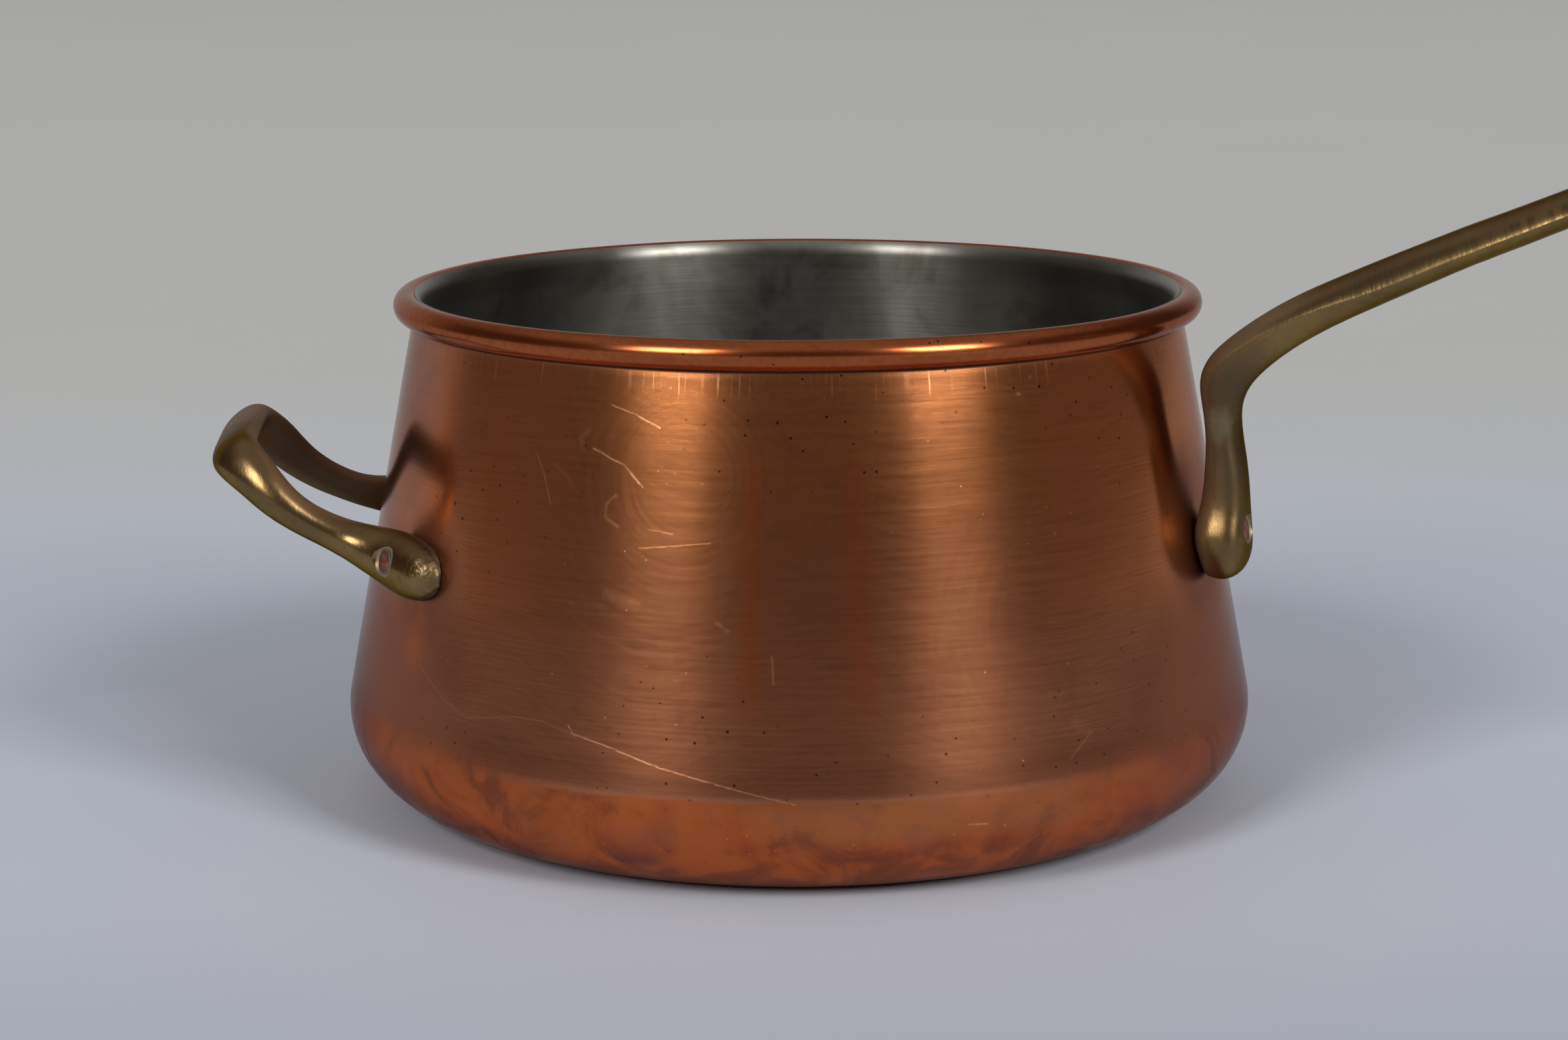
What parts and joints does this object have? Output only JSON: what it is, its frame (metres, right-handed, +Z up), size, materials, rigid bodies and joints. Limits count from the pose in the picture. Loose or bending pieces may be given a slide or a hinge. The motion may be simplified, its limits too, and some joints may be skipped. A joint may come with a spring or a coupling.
{
  "type": "copper saucepan",
  "caption": "Deep copper saucepan narrowing to a rolled rim, tinned inside, with a long upswept brass handle, a hanging eye and a brass helper loop, all riveted on.",
  "frame": {"origin": "centre of the flat base, on the table", "axes": "+Z up along the pan's axis, +X towards the long handle, +Y by the right-hand rule"},
  "size_m": [0.4346, 0.2268, 0.1959],
  "materials": {
    "copper": "brushed copper with a brown patina, heat stains and fine scratches",
    "tin": "wiped tin, dulled to a satin grey",
    "brass": "aged cast brass, hand polished, olive brown",
    "rivet_copper": "hammered copper rivet",
    "iron_wire": "drawn iron wire"
  },
  "bodies": {
    "root": {"copper_body": "copper", "rim_wire": "iron_wire", "tin_lining": "tin", "long_handle": "brass", "helper_handle": "brass", "long_handle_rivet": "rivet_copper", "helper_rivet_front": "rivet_copper", "helper_rivet_rear": "rivet_copper"}
  },
  "joints": []
}
